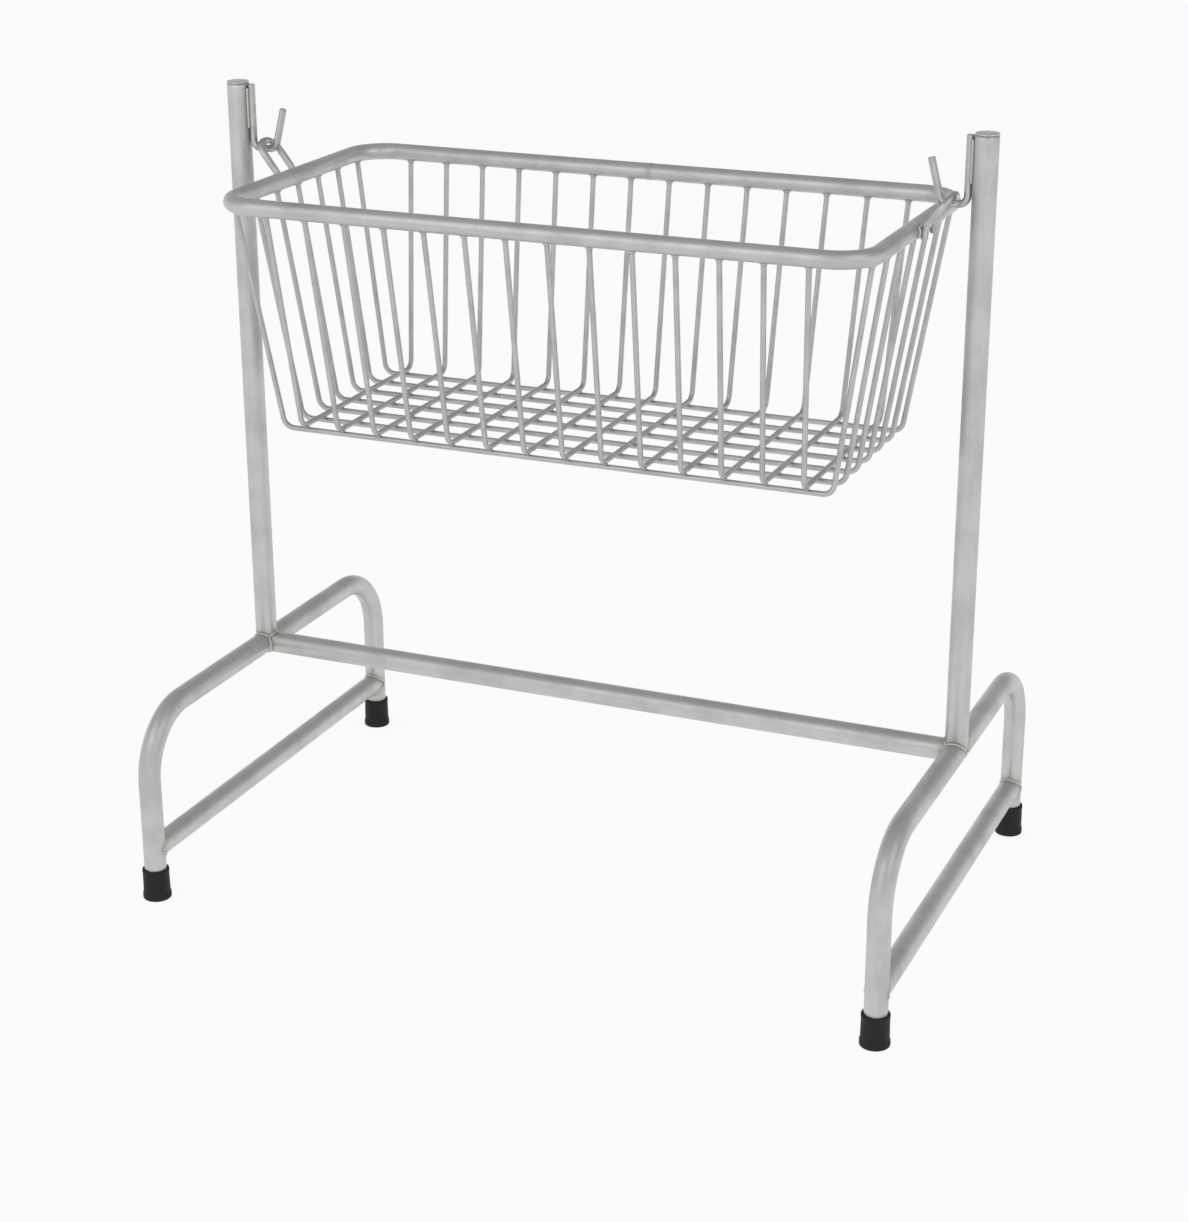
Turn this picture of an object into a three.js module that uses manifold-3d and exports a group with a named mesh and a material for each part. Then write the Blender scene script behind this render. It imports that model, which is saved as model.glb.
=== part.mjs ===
// Hospital baby cradle: a tubular steel stand with a wire basket that swings between two uprights.
// Millimetres, +Z up, origin on the floor under the middle of the stand.
// X runs along the cradle from end to end, -Y is the front.

import * as THREE from "three";
import { mergeVertices } from "three/addons/utils/BufferGeometryUtils.js";
import Module from "manifold-3d";

const wasm = await Module();
wasm.setup();

// Basket rim, sizes between tube centrelines
const rimLength = 728;
const rimWidth = 346;
const rimCornerRadius = 42;
const rimTubeDiameter = 19;
const rimTubeWall = 1.2;
const rimButtGap = 0.4;

// Basket wires
const wireDiameter = 6;
const wireBendRadius = 13;
const basketDepth = 258;
const floorLength = 644;
const floorWidth = 268;
const crossWireCount = 14;
const crossWireRimMargin = 58;
const crossWireFloorMargin = 28;
const longWireCount = 7;
const longWireRimMargin = 31;

// Stand tubes
const tubeDiameter = 25.4;
const tubeWall = 1.6;
const standHeight = 900;
const legSpacing = 550;
const archHeight = 220;
const archBendRadius = 76;
const stretcherHeight = 61;
const uprightToRim = 70;

// Upright caps
const capThickness = 2.5;
const capSpigotLength = 12;
const capEdge = 0.8;

// Hanging hooks and hanger loops
const rodDiameter = 8;
const pivotDrop = 75;
const rimDrop = 28;
const hookBendRadius = 9;
const hookShankLength = 72;
const hookReach = 45;
const hookTipLean = 12;
const hookTipRise = 46;
const loopLegSpacing = 34;
const loopBendRadius = 15;
const loopFootBelowRim = 8;
const loopKinkAboveRim = 4;

// Rubber ferrules
const ferruleHeight = 37;
const ferruleFootDiameter = 33;
const ferruleTopDiameter = 31;
const ferruleFloor = 6;
const ferruleEdge = 1.2;

// Clearance left between pieces that are welded, pushed together or hung on one another
const seatGap = 0.3;

// Facets
const tubeSides = 16;
const rodSides = 10;
const wireSides = 8;
const archBendSteps = 7;
const rodBendSteps = 5;
const wireBendSteps = 3;
const latheSides = 24;

// Derived places
const tubeRadius = tubeDiameter / 2;
const rimRadius = rimTubeDiameter / 2;
const rodRadius = rodDiameter / 2;
const uprightSpacing = rimLength + 2 * uprightToRim;
const pivotHeight = standHeight - pivotDrop;
const rimHeight = pivotHeight - rimDrop;
const longWireFloorHeight = rimHeight - basketDepth;
const crossWireFloorHeight = longWireFloorHeight + wireDiameter + seatGap;
const legFootHeight = ferruleFloor + seatGap;
const hookShankOffset = tubeRadius + seatGap + rodRadius;
const hookSeatOffset = (hookShankOffset + hookReach) / 2;

const steelColour = 0xb9bcb8;
const rubberColour = 0x2a2a2a;

// A centreline bent round corner points: straight runs joined by arcs of one radius.
// Its stations stand at run ends and along the arcs, so a straight run is a single step.
class BentPath extends THREE.Curve {
  constructor(corners, bendRadius, bendSteps) {
    super();
    this.stations = [];
    this.tangents = [];
    const last = corners.length - 1;
    this.addStation(corners[0], corners[1].clone().sub(corners[0]));
    for (let i = 1; i < last; i += 1) {
      this.addBend(corners[i - 1], corners[i], corners[i + 1], bendRadius, bendSteps);
    }
    this.addStation(corners[last], corners[last].clone().sub(corners[last - 1]));
  }

  addStation(point, direction) {
    this.stations.push(point.clone());
    this.tangents.push(direction.clone().normalize());
  }

  addBend(before, corner, after, bendRadius, bendSteps) {
    const incoming = corner.clone().sub(before).normalize();
    const outgoing = after.clone().sub(corner).normalize();
    const turn = incoming.angleTo(outgoing);
    const axis = incoming.clone().cross(outgoing).normalize();
    const start = corner.clone().addScaledVector(incoming, -bendRadius * Math.tan(turn / 2));
    const centre = start.clone().addScaledVector(axis.clone().cross(incoming), bendRadius);
    for (let step = 0; step <= bendSteps; step += 1) {
      const angle = (turn * step) / bendSteps;
      const spoke = start.clone().sub(centre).applyAxisAngle(axis, angle);
      this.addStation(centre.clone().add(spoke), incoming.clone().applyAxisAngle(axis, angle));
    }
  }

  get steps() {
    return this.stations.length - 1;
  }

  getPointAt(u) {
    return this.stations[Math.round(u * this.steps)].clone();
  }

  getTangentAt(u) {
    return this.tangents[Math.round(u * this.steps)].clone();
  }
}

const point = (x, y, z) => new THREE.Vector3(x, y, z);

// A round section, hollow when a wall is given
function roundSection(diameter, wall) {
  const section = new THREE.Shape().absarc(0, 0, diameter / 2, 0, 2 * Math.PI);
  if (wall) {
    section.holes.push(new THREE.Path().absarc(0, 0, diameter / 2 - wall, 0, 2 * Math.PI));
  }
  return section;
}

// A rod or tube swept along a bent centreline
function bentBar({ corners, bendRadius, bendSteps, diameter, wall, sides }) {
  const path = new BentPath(corners, bendRadius, bendSteps);
  return new THREE.ExtrudeGeometry(roundSection(diameter, wall), {
    steps: path.steps,
    curveSegments: sides / 2,
    extrudePath: path,
  });
}

// A straight stand tube from the origin along +Z
function straightTube(length) {
  return new THREE.ExtrudeGeometry(roundSection(tubeDiameter, tubeWall), {
    depth: length,
    bevelEnabled: false,
    curveSegments: tubeSides / 2,
  });
}

// The space that a neighbouring stand tube takes up along +Z, with its clearance all round
function tubeSpace(length) {
  const space = new THREE.CylinderGeometry(tubeRadius + seatGap, tubeRadius + seatGap, length, latheSides);
  return space.rotateX(Math.PI / 2);
}

function toSolid(geometry) {
  const bare = geometry.clone();
  bare.deleteAttribute("normal");
  bare.deleteAttribute("uv");
  const merged = mergeVertices(bare);
  const vertProperties = new Float32Array(merged.attributes.position.array);
  const triVerts = new Uint32Array(merged.index.array);
  return new wasm.Manifold(new wasm.Mesh({ numProp: 3, vertProperties, triVerts }));
}

// Cut the end of a tube to the shape of the tubes it is welded against
function copeTube(geometry, neighbours) {
  let solid = toSolid(geometry);
  for (const neighbour of neighbours) {
    solid = solid.subtract(toSolid(neighbour));
  }
  const mesh = solid.getMesh();
  const coped = new THREE.BufferGeometry();
  coped.setAttribute("position", new THREE.BufferAttribute(mesh.vertProperties, mesh.numProp));
  coped.setIndex(new THREE.BufferAttribute(mesh.triVerts, 1));
  coped.computeVertexNormals();
  return coped;
}

function namedMesh(name, geometry, colour, roughness, metalness) {
  const mesh = new THREE.Mesh(geometry, new THREE.MeshStandardMaterial({ color: colour, roughness, metalness }));
  mesh.name = name;
  return mesh;
}

const steelPiece = (name, geometry) => namedMesh(name, geometry, steelColour, 0.35, 0.9);
const rubberPiece = (name, geometry) => namedMesh(name, geometry, rubberColour, 0.85, 0);

// Stand pieces, each in the frame of one end: upright on the Z axis, basket towards +X

// One tube bent into an arch: leg, level top, leg
function endFrame() {
  const half = legSpacing / 2;
  return bentBar({
    corners: [
      point(0, -half, legFootHeight),
      point(0, -half, archHeight),
      point(0, half, archHeight),
      point(0, half, legFootHeight),
    ],
    bendRadius: archBendRadius,
    bendSteps: archBendSteps,
    diameter: tubeDiameter,
    wall: tubeWall,
    sides: tubeSides,
  });
}

// Low tie between the two legs, coped to both
function stretcher() {
  const tube = straightTube(legSpacing).translate(0, 0, -legSpacing / 2).rotateX(Math.PI / 2);
  const legSpace = (side) => tubeSpace(4 * tubeDiameter).translate(0, (side * legSpacing) / 2, 0);
  return copeTube(tube, [legSpace(-1), legSpace(1)]).translate(0, 0, stretcherHeight);
}

// Upright saddled on the middle of the arch
function upright() {
  const tube = straightTube(standHeight - capThickness - archHeight);
  const archSpace = tubeSpace(4 * tubeDiameter).rotateX(Math.PI / 2);
  return copeTube(tube, [archSpace]).translate(0, 0, archHeight);
}

// Flat plug in the top of the upright: a disc on the tube's end and a spigot in its bore
function uprightCap() {
  const spigotRadius = tubeRadius - tubeWall - seatGap;
  const profile = [
    new THREE.Vector2(0, -capSpigotLength),
    new THREE.Vector2(spigotRadius - capEdge, -capSpigotLength),
    new THREE.Vector2(spigotRadius, capEdge - capSpigotLength),
    new THREE.Vector2(spigotRadius, seatGap),
    new THREE.Vector2(tubeRadius, seatGap),
    new THREE.Vector2(tubeRadius, capThickness - capEdge),
    new THREE.Vector2(tubeRadius - capEdge, capThickness),
    new THREE.Vector2(0, capThickness),
  ];
  const cap = new THREE.LatheGeometry(profile, latheSides).rotateX(Math.PI / 2);
  return cap.translate(0, 0, standHeight - capThickness);
}

// Rod hook on the upright's inner side: shank, level seat, free end leaning towards the basket
function hook() {
  return bentBar({
    corners: [
      point(hookShankOffset, 0, pivotHeight + hookShankLength),
      point(hookShankOffset, 0, pivotHeight),
      point(hookReach, 0, pivotHeight),
      point(hookReach + hookTipLean, 0, pivotHeight + hookTipRise),
    ],
    bendRadius: hookBendRadius,
    bendSteps: rodBendSteps,
    diameter: rodDiameter,
    sides: rodSides,
  });
}

// Rubber cup pushed on a leg: flat sole, slight taper, blind bore
function ferrule() {
  const footRadius = ferruleFootDiameter / 2;
  const topRadius = ferruleTopDiameter / 2;
  const boreRadius = tubeRadius + seatGap;
  const profile = [
    new THREE.Vector2(0, 0),
    new THREE.Vector2(footRadius - ferruleEdge, 0),
    new THREE.Vector2(footRadius, ferruleEdge),
    new THREE.Vector2(topRadius, ferruleHeight - ferruleEdge),
    new THREE.Vector2(topRadius - ferruleEdge, ferruleHeight),
    new THREE.Vector2(boreRadius, ferruleHeight),
    new THREE.Vector2(boreRadius, ferruleFloor),
    new THREE.Vector2(0, ferruleFloor),
  ];
  return new THREE.LatheGeometry(profile, latheSides).rotateX(Math.PI / 2);
}

// One end of the stand. The left end faces +X as drawn, and the right end is turned half round.
function standEnd(name, side) {
  const end = new THREE.Group();
  end.add(steelPiece(`${name}_end_frame`, endFrame()));
  end.add(steelPiece(`${name}_stretcher`, stretcher()));
  end.add(steelPiece(`${name}_upright`, upright()));
  end.add(steelPiece(`${name}_upright_cap`, uprightCap()));
  end.add(steelPiece(`${name}_hook`, hook()));
  for (const [place, y] of [["front", side], ["back", -side]]) {
    const foot = rubberPiece(`${name}_${place}_ferrule`, ferrule());
    foot.position.y = (y * legSpacing) / 2;
    end.add(foot);
  }
  end.position.x = (side * uprightSpacing) / 2;
  end.rotation.z = side > 0 ? Math.PI : 0;
  return end;
}

// Rail between the two arches at their own height, coped to the arches and to the uprights standing on them
function crossRail() {
  const tube = straightTube(uprightSpacing).translate(0, 0, -uprightSpacing / 2).rotateY(Math.PI / 2);
  const spaces = [-1, 1].flatMap((side) => [
    tubeSpace(4 * tubeDiameter).rotateX(Math.PI / 2).translate((side * uprightSpacing) / 2, 0, 0),
    tubeSpace(4 * tubeDiameter).translate((side * uprightSpacing) / 2, 0, 2 * tubeDiameter),
  ]);
  return copeTube(tube, spaces).translate(0, 0, archHeight);
}

// Basket pieces, in the frame of the whole cradle

// One tube bent into a rounded rectangle, its ends butted in the middle of the back side
function rim() {
  const halfLength = rimLength / 2;
  const halfWidth = rimWidth / 2;
  return bentBar({
    corners: [
      point(-rimButtGap / 2, halfWidth, rimHeight),
      point(-halfLength, halfWidth, rimHeight),
      point(-halfLength, -halfWidth, rimHeight),
      point(halfLength, -halfWidth, rimHeight),
      point(halfLength, halfWidth, rimHeight),
      point(rimButtGap / 2, halfWidth, rimHeight),
    ],
    bendRadius: rimCornerRadius,
    bendSteps: rodBendSteps,
    diameter: rimTubeDiameter,
    wall: rimTubeWall,
    sides: tubeSides,
  });
}

// How far out the rim's centreline lies at a place along one of its sides, round corners included
function rimReach(place, halfAlong, halfAcross) {
  const past = Math.max(0, Math.abs(place) - (halfAlong - rimCornerRadius));
  return halfAcross - rimCornerRadius + Math.sqrt(rimCornerRadius ** 2 - past ** 2);
}

// Places of a row of wires spread evenly over a span, margins left free at both ends
function spread(count, span, margin) {
  const pitch = (span - 2 * margin) / (count - 1);
  return Array.from({ length: count }, (_, i) => margin - span / 2 + i * pitch);
}

// A wire bent into a trough: down from the rim, across the floor and up to the rim again.
// Its ends stop at the underside of the rim tube, on lines through the tube's centre.
function troughWire(rimStart, floorStart, floorEnd, rimEnd) {
  const stop = rimRadius + seatGap;
  const endAtRim = (rimPoint, floorPoint) =>
    rimPoint.clone().addScaledVector(floorPoint.clone().sub(rimPoint).normalize(), stop);
  return bentBar({
    corners: [endAtRim(rimStart, floorStart), floorStart, floorEnd, endAtRim(rimEnd, floorEnd)],
    bendRadius: wireBendRadius,
    bendSteps: wireBendSteps,
    diameter: wireDiameter,
    sides: wireSides,
  });
}

// Wire across the basket, one of the row that makes the front, floor and back
function crossWire(rimX, floorX) {
  const reach = rimReach(rimX, rimLength / 2, rimWidth / 2);
  return troughWire(
    point(rimX, -reach, rimHeight),
    point(floorX, -floorWidth / 2, crossWireFloorHeight),
    point(floorX, floorWidth / 2, crossWireFloorHeight),
    point(rimX, reach, rimHeight),
  );
}

// Wire along the basket under the cross wires, one of the row that makes the ends and the floor
function longWire(rimY, floorY) {
  const reach = rimReach(rimY, rimWidth / 2, rimLength / 2);
  return troughWire(
    point(-reach, rimY, rimHeight),
    point(-floorLength / 2, floorY, longWireFloorHeight),
    point(floorLength / 2, floorY, longWireFloorHeight),
    point(reach, rimY, rimHeight),
  );
}

// Rod loop on the rim's end that leans out and hangs over the seat of the hook
function hangerLoop(side) {
  const half = loopLegSpacing / 2;
  const footX = side * (rimLength / 2 + rimRadius + seatGap + rodRadius);
  const topX = side * (uprightSpacing / 2 - hookSeatOffset);
  const topHeight = pivotHeight + rodDiameter + seatGap;
  return bentBar({
    corners: [
      point(footX, -half, rimHeight - loopFootBelowRim),
      point(footX, -half, rimHeight + loopKinkAboveRim),
      point(topX, -half, topHeight),
      point(topX, half, topHeight),
      point(footX, half, rimHeight + loopKinkAboveRim),
      point(footX, half, rimHeight - loopFootBelowRim),
    ],
    bendRadius: loopBendRadius,
    bendSteps: rodBendSteps,
    diameter: rodDiameter,
    sides: rodSides,
  });
}

// The outermost long wires lie where the cross wires start to curve up from the floor
function crossWireBendRun() {
  const wallRise = rimHeight - crossWireFloorHeight;
  const wallSpread = (rimWidth - floorWidth) / 2;
  return wireBendRadius * Math.tan(Math.atan2(wallRise, wallSpread) / 2);
}

const stand = new THREE.Group();
stand.add(standEnd("left", -1), standEnd("right", 1));
stand.add(steelPiece("cross_rail", crossRail()));

const basket = new THREE.Group();
basket.add(steelPiece("rim", rim()));
basket.add(steelPiece("left_hanger_loop", hangerLoop(-1)));
basket.add(steelPiece("right_hanger_loop", hangerLoop(1)));

const crossWireFloorPlaces = spread(crossWireCount, floorLength, crossWireFloorMargin);
spread(crossWireCount, rimLength, crossWireRimMargin).forEach((rimX, i) => {
  const number = String(i + 1).padStart(2, "0");
  basket.add(steelPiece(`cross_wire_${number}`, crossWire(rimX, crossWireFloorPlaces[i])));
});

const longWireFloorPlaces = spread(longWireCount, floorWidth, crossWireBendRun());
spread(longWireCount, rimWidth, longWireRimMargin).forEach((rimY, i) => {
  basket.add(steelPiece(`long_wire_${i + 1}`, longWire(rimY, longWireFloorPlaces[i])));
});

const cradle = new THREE.Group();
cradle.add(stand, basket);

export default cradle;
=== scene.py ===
"""Hospital baby cradle: the finished stand and its swinging wire basket.

Metres, +Z up, origin on the floor under the middle of the stand. X runs from end to end, -Y is the front.
"""

import math
import random

import bpy
from mathutils import Matrix, Vector
from mathutils.kdtree import KDTree


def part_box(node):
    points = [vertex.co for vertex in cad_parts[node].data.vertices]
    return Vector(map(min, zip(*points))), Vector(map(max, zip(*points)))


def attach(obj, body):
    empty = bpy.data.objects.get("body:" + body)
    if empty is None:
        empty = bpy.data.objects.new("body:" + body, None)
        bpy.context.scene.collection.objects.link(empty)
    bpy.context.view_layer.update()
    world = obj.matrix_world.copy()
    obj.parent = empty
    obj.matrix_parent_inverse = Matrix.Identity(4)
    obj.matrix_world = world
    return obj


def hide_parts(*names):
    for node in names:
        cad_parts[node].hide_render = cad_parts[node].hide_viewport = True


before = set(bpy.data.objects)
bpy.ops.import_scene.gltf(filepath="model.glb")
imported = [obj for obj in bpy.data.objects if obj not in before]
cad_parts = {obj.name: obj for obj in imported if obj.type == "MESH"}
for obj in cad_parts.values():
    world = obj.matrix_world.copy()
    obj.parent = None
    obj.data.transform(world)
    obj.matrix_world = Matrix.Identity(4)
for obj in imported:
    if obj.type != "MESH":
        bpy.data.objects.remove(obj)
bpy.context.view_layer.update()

# Sizes that the solids give. TUBE, RIM, ROD and WIRE are radii

frame_low, frame_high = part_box("left_end_frame")
upright_low, upright_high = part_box("left_upright")
stretcher_low, stretcher_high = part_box("left_stretcher")
ferrule_low, ferrule_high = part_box("left_front_ferrule")
rim_low, rim_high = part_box("rim")
hook_low, hook_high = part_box("left_hook")
loop_low, loop_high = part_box("right_hanger_loop")

TUBE = (frame_high.x - frame_low.x) / 2
UPRIGHT_X = -(upright_low.x + upright_high.x) / 2
UPRIGHT_TOP = upright_high.z
LEG_Y = frame_high.y - TUBE
LEG_FOOT = frame_low.z
ARCH_Z = frame_high.z - TUBE
STRETCHER_Z = (stretcher_low.z + stretcher_high.z) / 2
CAP_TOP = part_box("left_upright_cap")[1].z
FERRULE_TOP = ferrule_high.z
FERRULE_FOOT = (ferrule_high.x - ferrule_low.x) / 2

RIM = (rim_high.z - rim_low.z) / 2
RIM_Z = (rim_high.z + rim_low.z) / 2
RIM_X = rim_high.x - RIM
RIM_Y = rim_high.y - RIM

ROD = (hook_high.y - hook_low.y) / 2
PIVOT_Z = hook_low.z + ROD
SHANK_X = -(hook_low.x + ROD)
SHANK_TOP = hook_high.z
LOOP_Y = loop_high.y - ROD
LOOP_FOOT_X = loop_low.x + ROD
LOOP_FOOT_Z = loop_low.z
LOOP_TOP_X = loop_high.x - ROD
LOOP_TOP_Z = loop_high.z - ROD

# Sizes that the solids' boxes do not give

ARCH_BEND = 0.076
RIM_BEND = 0.042
HOOK_BEND = 0.009
HOOK_REACH = 0.045
HOOK_TIP_LEAN = 0.012
HOOK_TIP_RISE = 0.046
LOOP_BEND = 0.015
LOOP_KINK = 0.004
WIRE = 0.003
WIRE_BEND = 0.013
FLOOR_LENGTH = 0.644
FLOOR_WIDTH = 0.268
CROSS_WIRES = 14
CROSS_RIM_MARGIN = 0.058
CROSS_FLOOR_MARGIN = 0.028
LONG_WIRES = 7
LONG_RIM_MARGIN = 0.031
FERRULE_LIP = 0.0155
GAP = 0.0003

CROSS_FLOOR_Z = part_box("cross_wire_01")[0].z + WIRE
LONG_FLOOR_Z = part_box("long_wire_1")[0].z + WIRE

# How finely the stock is shaped, and how far its cut ends are rounded

TUBE_SIDES = 40
TUBE_STEP = 0.004
TUBE_BEND_STEP = math.radians(3)
TUBE_EDGE = 0.0006
RIM_SIDES = 36
RIM_EDGE = 0.0004
ROD_SIDES = 28
ROD_STEP = 0.0015
ROD_BEND_STEP = math.radians(5)
ROD_EDGE = 0.0011
WIRE_SIDES = 18
WIRE_STEP = 0.005
WIRE_BEND_STEP = math.radians(6)
WIRE_EDGE = 0.0004
TURNED_SIDES = 48

# Where along the drawn marks each piece of steel was cut, so that no two look alike

FRAME_CUT = 3.1
STRETCHER_CUT = 5.7
UPRIGHT_CUT = 8.3
PLUG_CUT = 0.4
HOOK_CUT = 11.9
LOOP_CUT = 14.2
RAIL_CUT = 17.6
RIM_CUT = 20.3
WIRE_CUT = 23.0
WIRE_CUT_STEP = 1.37

UP = Vector((0, 0, 1))


# Shaping


class Stock:
    """A piece being shaped: its points, its faces, and where each point lay on the straight stock."""

    def __init__(self, cut=0.0):
        self.points = []
        self.faces = []
        self.drawn = []
        self.cut = cut

    def ring(self, points, drawn):
        first = len(self.points)
        self.points.extend(points)
        self.drawn.extend(place + Vector((0, 0, self.cut)) for place in drawn)
        return list(range(first, len(self.points)))

    def skin(self, lower, upper):
        count = len(lower)
        for i in range(count):
            j = (i + 1) % count
            self.faces.append((lower[i], lower[j], upper[j], upper[i]))

    def lid(self, ring, outward):
        count = len(ring)
        hub = len(self.points)
        self.points.append(sum((self.points[i] for i in ring), Vector()) / count)
        self.drawn.append(sum((self.drawn[i] for i in ring), Vector()) / count)
        for i in range(count):
            j = (i + 1) % count
            pair = (ring[i], ring[j]) if outward else (ring[j], ring[i])
            self.faces.append((hub, *pair))

    def loft(self, rings, closed=False):
        for lower, upper in zip(rings, rings[1:]):
            self.skin(lower, upper)
        if closed:
            self.skin(rings[-1], rings[0])
            return
        self.lid(rings[0], False)
        self.lid(rings[-1], True)


def full_turn(sides):
    """Angles all the way round."""
    return [math.tau * k / sides for k in range(sides)]


def polar(angle, radius, height):
    """A place round the Z axis."""
    return Vector((math.cos(angle) * radius, math.sin(angle) * radius, height))


def swung(side, other, angle):
    """A direction between two sides that lie square to each other."""
    return side * math.cos(angle) + other * math.sin(angle)


def bent_line(corners, bend, step, bend_step):
    """Places and directions along a centreline bent round its corners."""
    stations = []

    def run(start, end, direction):
        count = max(1, math.ceil((end - start).length / step))
        for k in range(count):
            stations.append((start.lerp(end, k / count), direction))

    start = corners[0]
    for before, corner, after in zip(corners, corners[1:], corners[2:]):
        incoming = (corner - before).normalized()
        outgoing = (after - corner).normalized()
        turn = incoming.angle(outgoing)
        axis = incoming.cross(outgoing).normalized()
        arc_start = corner - incoming * bend * math.tan(turn / 2)
        centre = arc_start + axis.cross(incoming) * bend
        run(start, arc_start, incoming)
        count = math.ceil(turn / bend_step)
        for k in range(count):
            twist = Matrix.Rotation(turn * k / count, 3, axis)
            stations.append((centre + twist @ (arc_start - centre), twist @ incoming))
        start = corner + outgoing * bend * math.tan(turn / 2)
    direction = (corners[-1] - start).normalized()
    run(start, corners[-1], direction)
    stations.append((corners[-1], direction))
    return stations


def first_side(direction):
    """A direction square to a centreline."""
    steep = 0.9
    guide = UP if abs(direction.z) < steep else Vector((0, 1, 0))
    return direction.cross(guide).normalized()


def round_bar(stock, stations, radius, sides, edge):
    """A bar or tube skin along a centreline, its two end edges rounded off."""
    places = [place for place, _ in stations]
    lengths = [0.0]
    for before, after in zip(places, places[1:]):
        lengths.append(lengths[-1] + (after - before).length)
    rows = []
    previous = stations[0][1]
    side = first_side(previous)
    for (place, direction), length in zip(stations, lengths):
        side = previous.rotation_difference(direction) @ side
        previous = direction
        rows.append((place, direction, side.copy(), length))
    quarter = [math.radians(angle) for angle in (90, 60, 30, 0)]
    first, last = rows[0], rows[-1]
    cuts = [(first, edge - edge * math.sin(a), radius - edge + edge * math.cos(a)) for a in quarter]
    cuts += [(row, 0.0, radius) for row in rows if edge < row[3] < lengths[-1] - edge]
    cuts += [(last, edge * math.sin(a) - edge, radius - edge + edge * math.cos(a)) for a in reversed(quarter)]
    turns = full_turn(sides)
    rings = []
    for (place, direction, side, length), shift, size in cuts:
        other = direction.cross(side)
        points = [place + direction * shift + swung(side, other, a) * size for a in turns]
        drawn = [polar(a, size, length + shift) for a in turns]
        rings.append(stock.ring(points, drawn))
    stock.loft(rings)


def straight_offsets(direction, radius, sides):
    """Offsets all round a straight centreline."""
    side = first_side(direction)
    other = direction.cross(side)
    return [swung(side, other, a) * radius for a in full_turn(sides)]


def saddle(offset):
    """How far a tube end stands back where it meets a tube of its own size, by its sideways offset."""
    return math.sqrt(max(0.0, TUBE * TUBE - offset * offset))


def frame_trim(offset):
    """An upright on its arch, or a stretcher on its leg."""
    return saddle(offset.x)


def rail_trim(offset):
    """The cross rail, between the arch beside it and the upright above it."""
    under_upright = saddle(offset.y) if offset.z > 0 else 0.0
    return max(saddle(offset.z), under_upright)


def square_trim(offset):
    """A plain cut, the same all round."""
    return 0.0


def coped_tube(stock, start, end, start_trim, end_trim):
    """A straight stand tube between two trimmed ends."""
    direction = (end - start).normalized()
    length = (end - start).length
    turns = full_turn(TUBE_SIDES)
    offsets = straight_offsets(direction, TUBE, TUBE_SIDES)
    count = math.ceil(length / TUBE_STEP)
    rings = []
    for k in range(count + 1):
        share = k / count
        reach = [start_trim(o) * (1 - share) + (length - end_trim(o)) * share for o in offsets]
        points = [start + o + direction * r for o, r in zip(offsets, reach)]
        drawn = [polar(a, TUBE, r) for a, r in zip(turns, reach)]
        rings.append(stock.ring(points, drawn))
    stock.loft(rings)


def rounding(radius, height, size, angles):
    """Profile points on a small round whose centre lies at a radius and a height."""
    return [(radius + size * math.cos(a), height + size * math.sin(a)) for a in map(math.radians, angles)]


def turned(stock, centre, profile):
    """A turned piece: profile points (radius, height) from the axis below to the axis above."""
    rings = []
    for radius, height in profile:
        rim = [polar(a, radius, height) for a in full_turn(TURNED_SIDES)]
        rings.append(stock.ring([centre + place for place in rim], rim))
    stock.loft(rings)


# Finishes


class Shade:
    """A value that changes over a surface. Arithmetic on it adds Math nodes to its recipe."""

    def __init__(self, recipe, socket):
        self.recipe = recipe
        self.socket = socket

    def math(self, operation, first, second):
        return self.recipe.node("ShaderNodeMath", {"operation": operation}, {0: first, 1: second})

    def __add__(self, other):
        return self.math("ADD", self, other)

    def __radd__(self, other):
        return self.math("ADD", other, self)

    def __sub__(self, other):
        return self.math("SUBTRACT", self, other)

    def __rsub__(self, other):
        return self.math("SUBTRACT", other, self)

    def __mul__(self, other):
        return self.math("MULTIPLY", self, other)

    def __rmul__(self, other):
        return self.math("MULTIPLY", other, self)

    def between(self, low, high):
        """0 below low, 1 above high, and a smooth step from one to the other."""
        settings = {"interpolation_type": "SMOOTHSTEP"}
        return self.recipe.node("ShaderNodeMapRange", settings, {"Value": self, 1: low, 2: high})


class Recipe:
    """A tree of shader nodes, and the ways to add to it."""

    def __init__(self, tree):
        self.tree = tree

    def node(self, kind, settings, inputs, output=0):
        """A node of a kind: its settings first, then the values or links of its sockets."""
        node = self.tree.nodes.new(kind)
        for key, value in settings.items():
            if key == "stops":
                self.set_stops(node.color_ramp, value)
            else:
                setattr(node, key, value)
        for key, value in inputs.items():
            self.join(value, node.inputs[key])
        return Shade(self, node.outputs[output])

    def join(self, value, socket):
        if isinstance(value, Shade):
            self.tree.links.new(value.socket, socket)
        else:
            socket.default_value = value

    def set_stops(self, ramp, stops):
        while len(ramp.elements) < len(stops):
            ramp.elements.new(1.0)
        for element, (place, colour) in zip(ramp.elements, stops):
            element.position = place
            element.color = colour

    def stretched(self, places, by):
        return self.node("ShaderNodeVectorMath", {"operation": "MULTIPLY"}, {0: places, 1: by})

    def cloud(self, places, scale, detail=2.0, roughness=0.5):
        inputs = {"Vector": places, "Scale": scale, "Detail": detail, "Roughness": roughness}
        return self.node("ShaderNodeTexNoise", {}, inputs)

    def blend(self, share, first, second):
        return self.node("ShaderNodeMix", {"data_type": "RGBA"}, {0: share, 6: first, 7: second}, 2)


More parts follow.
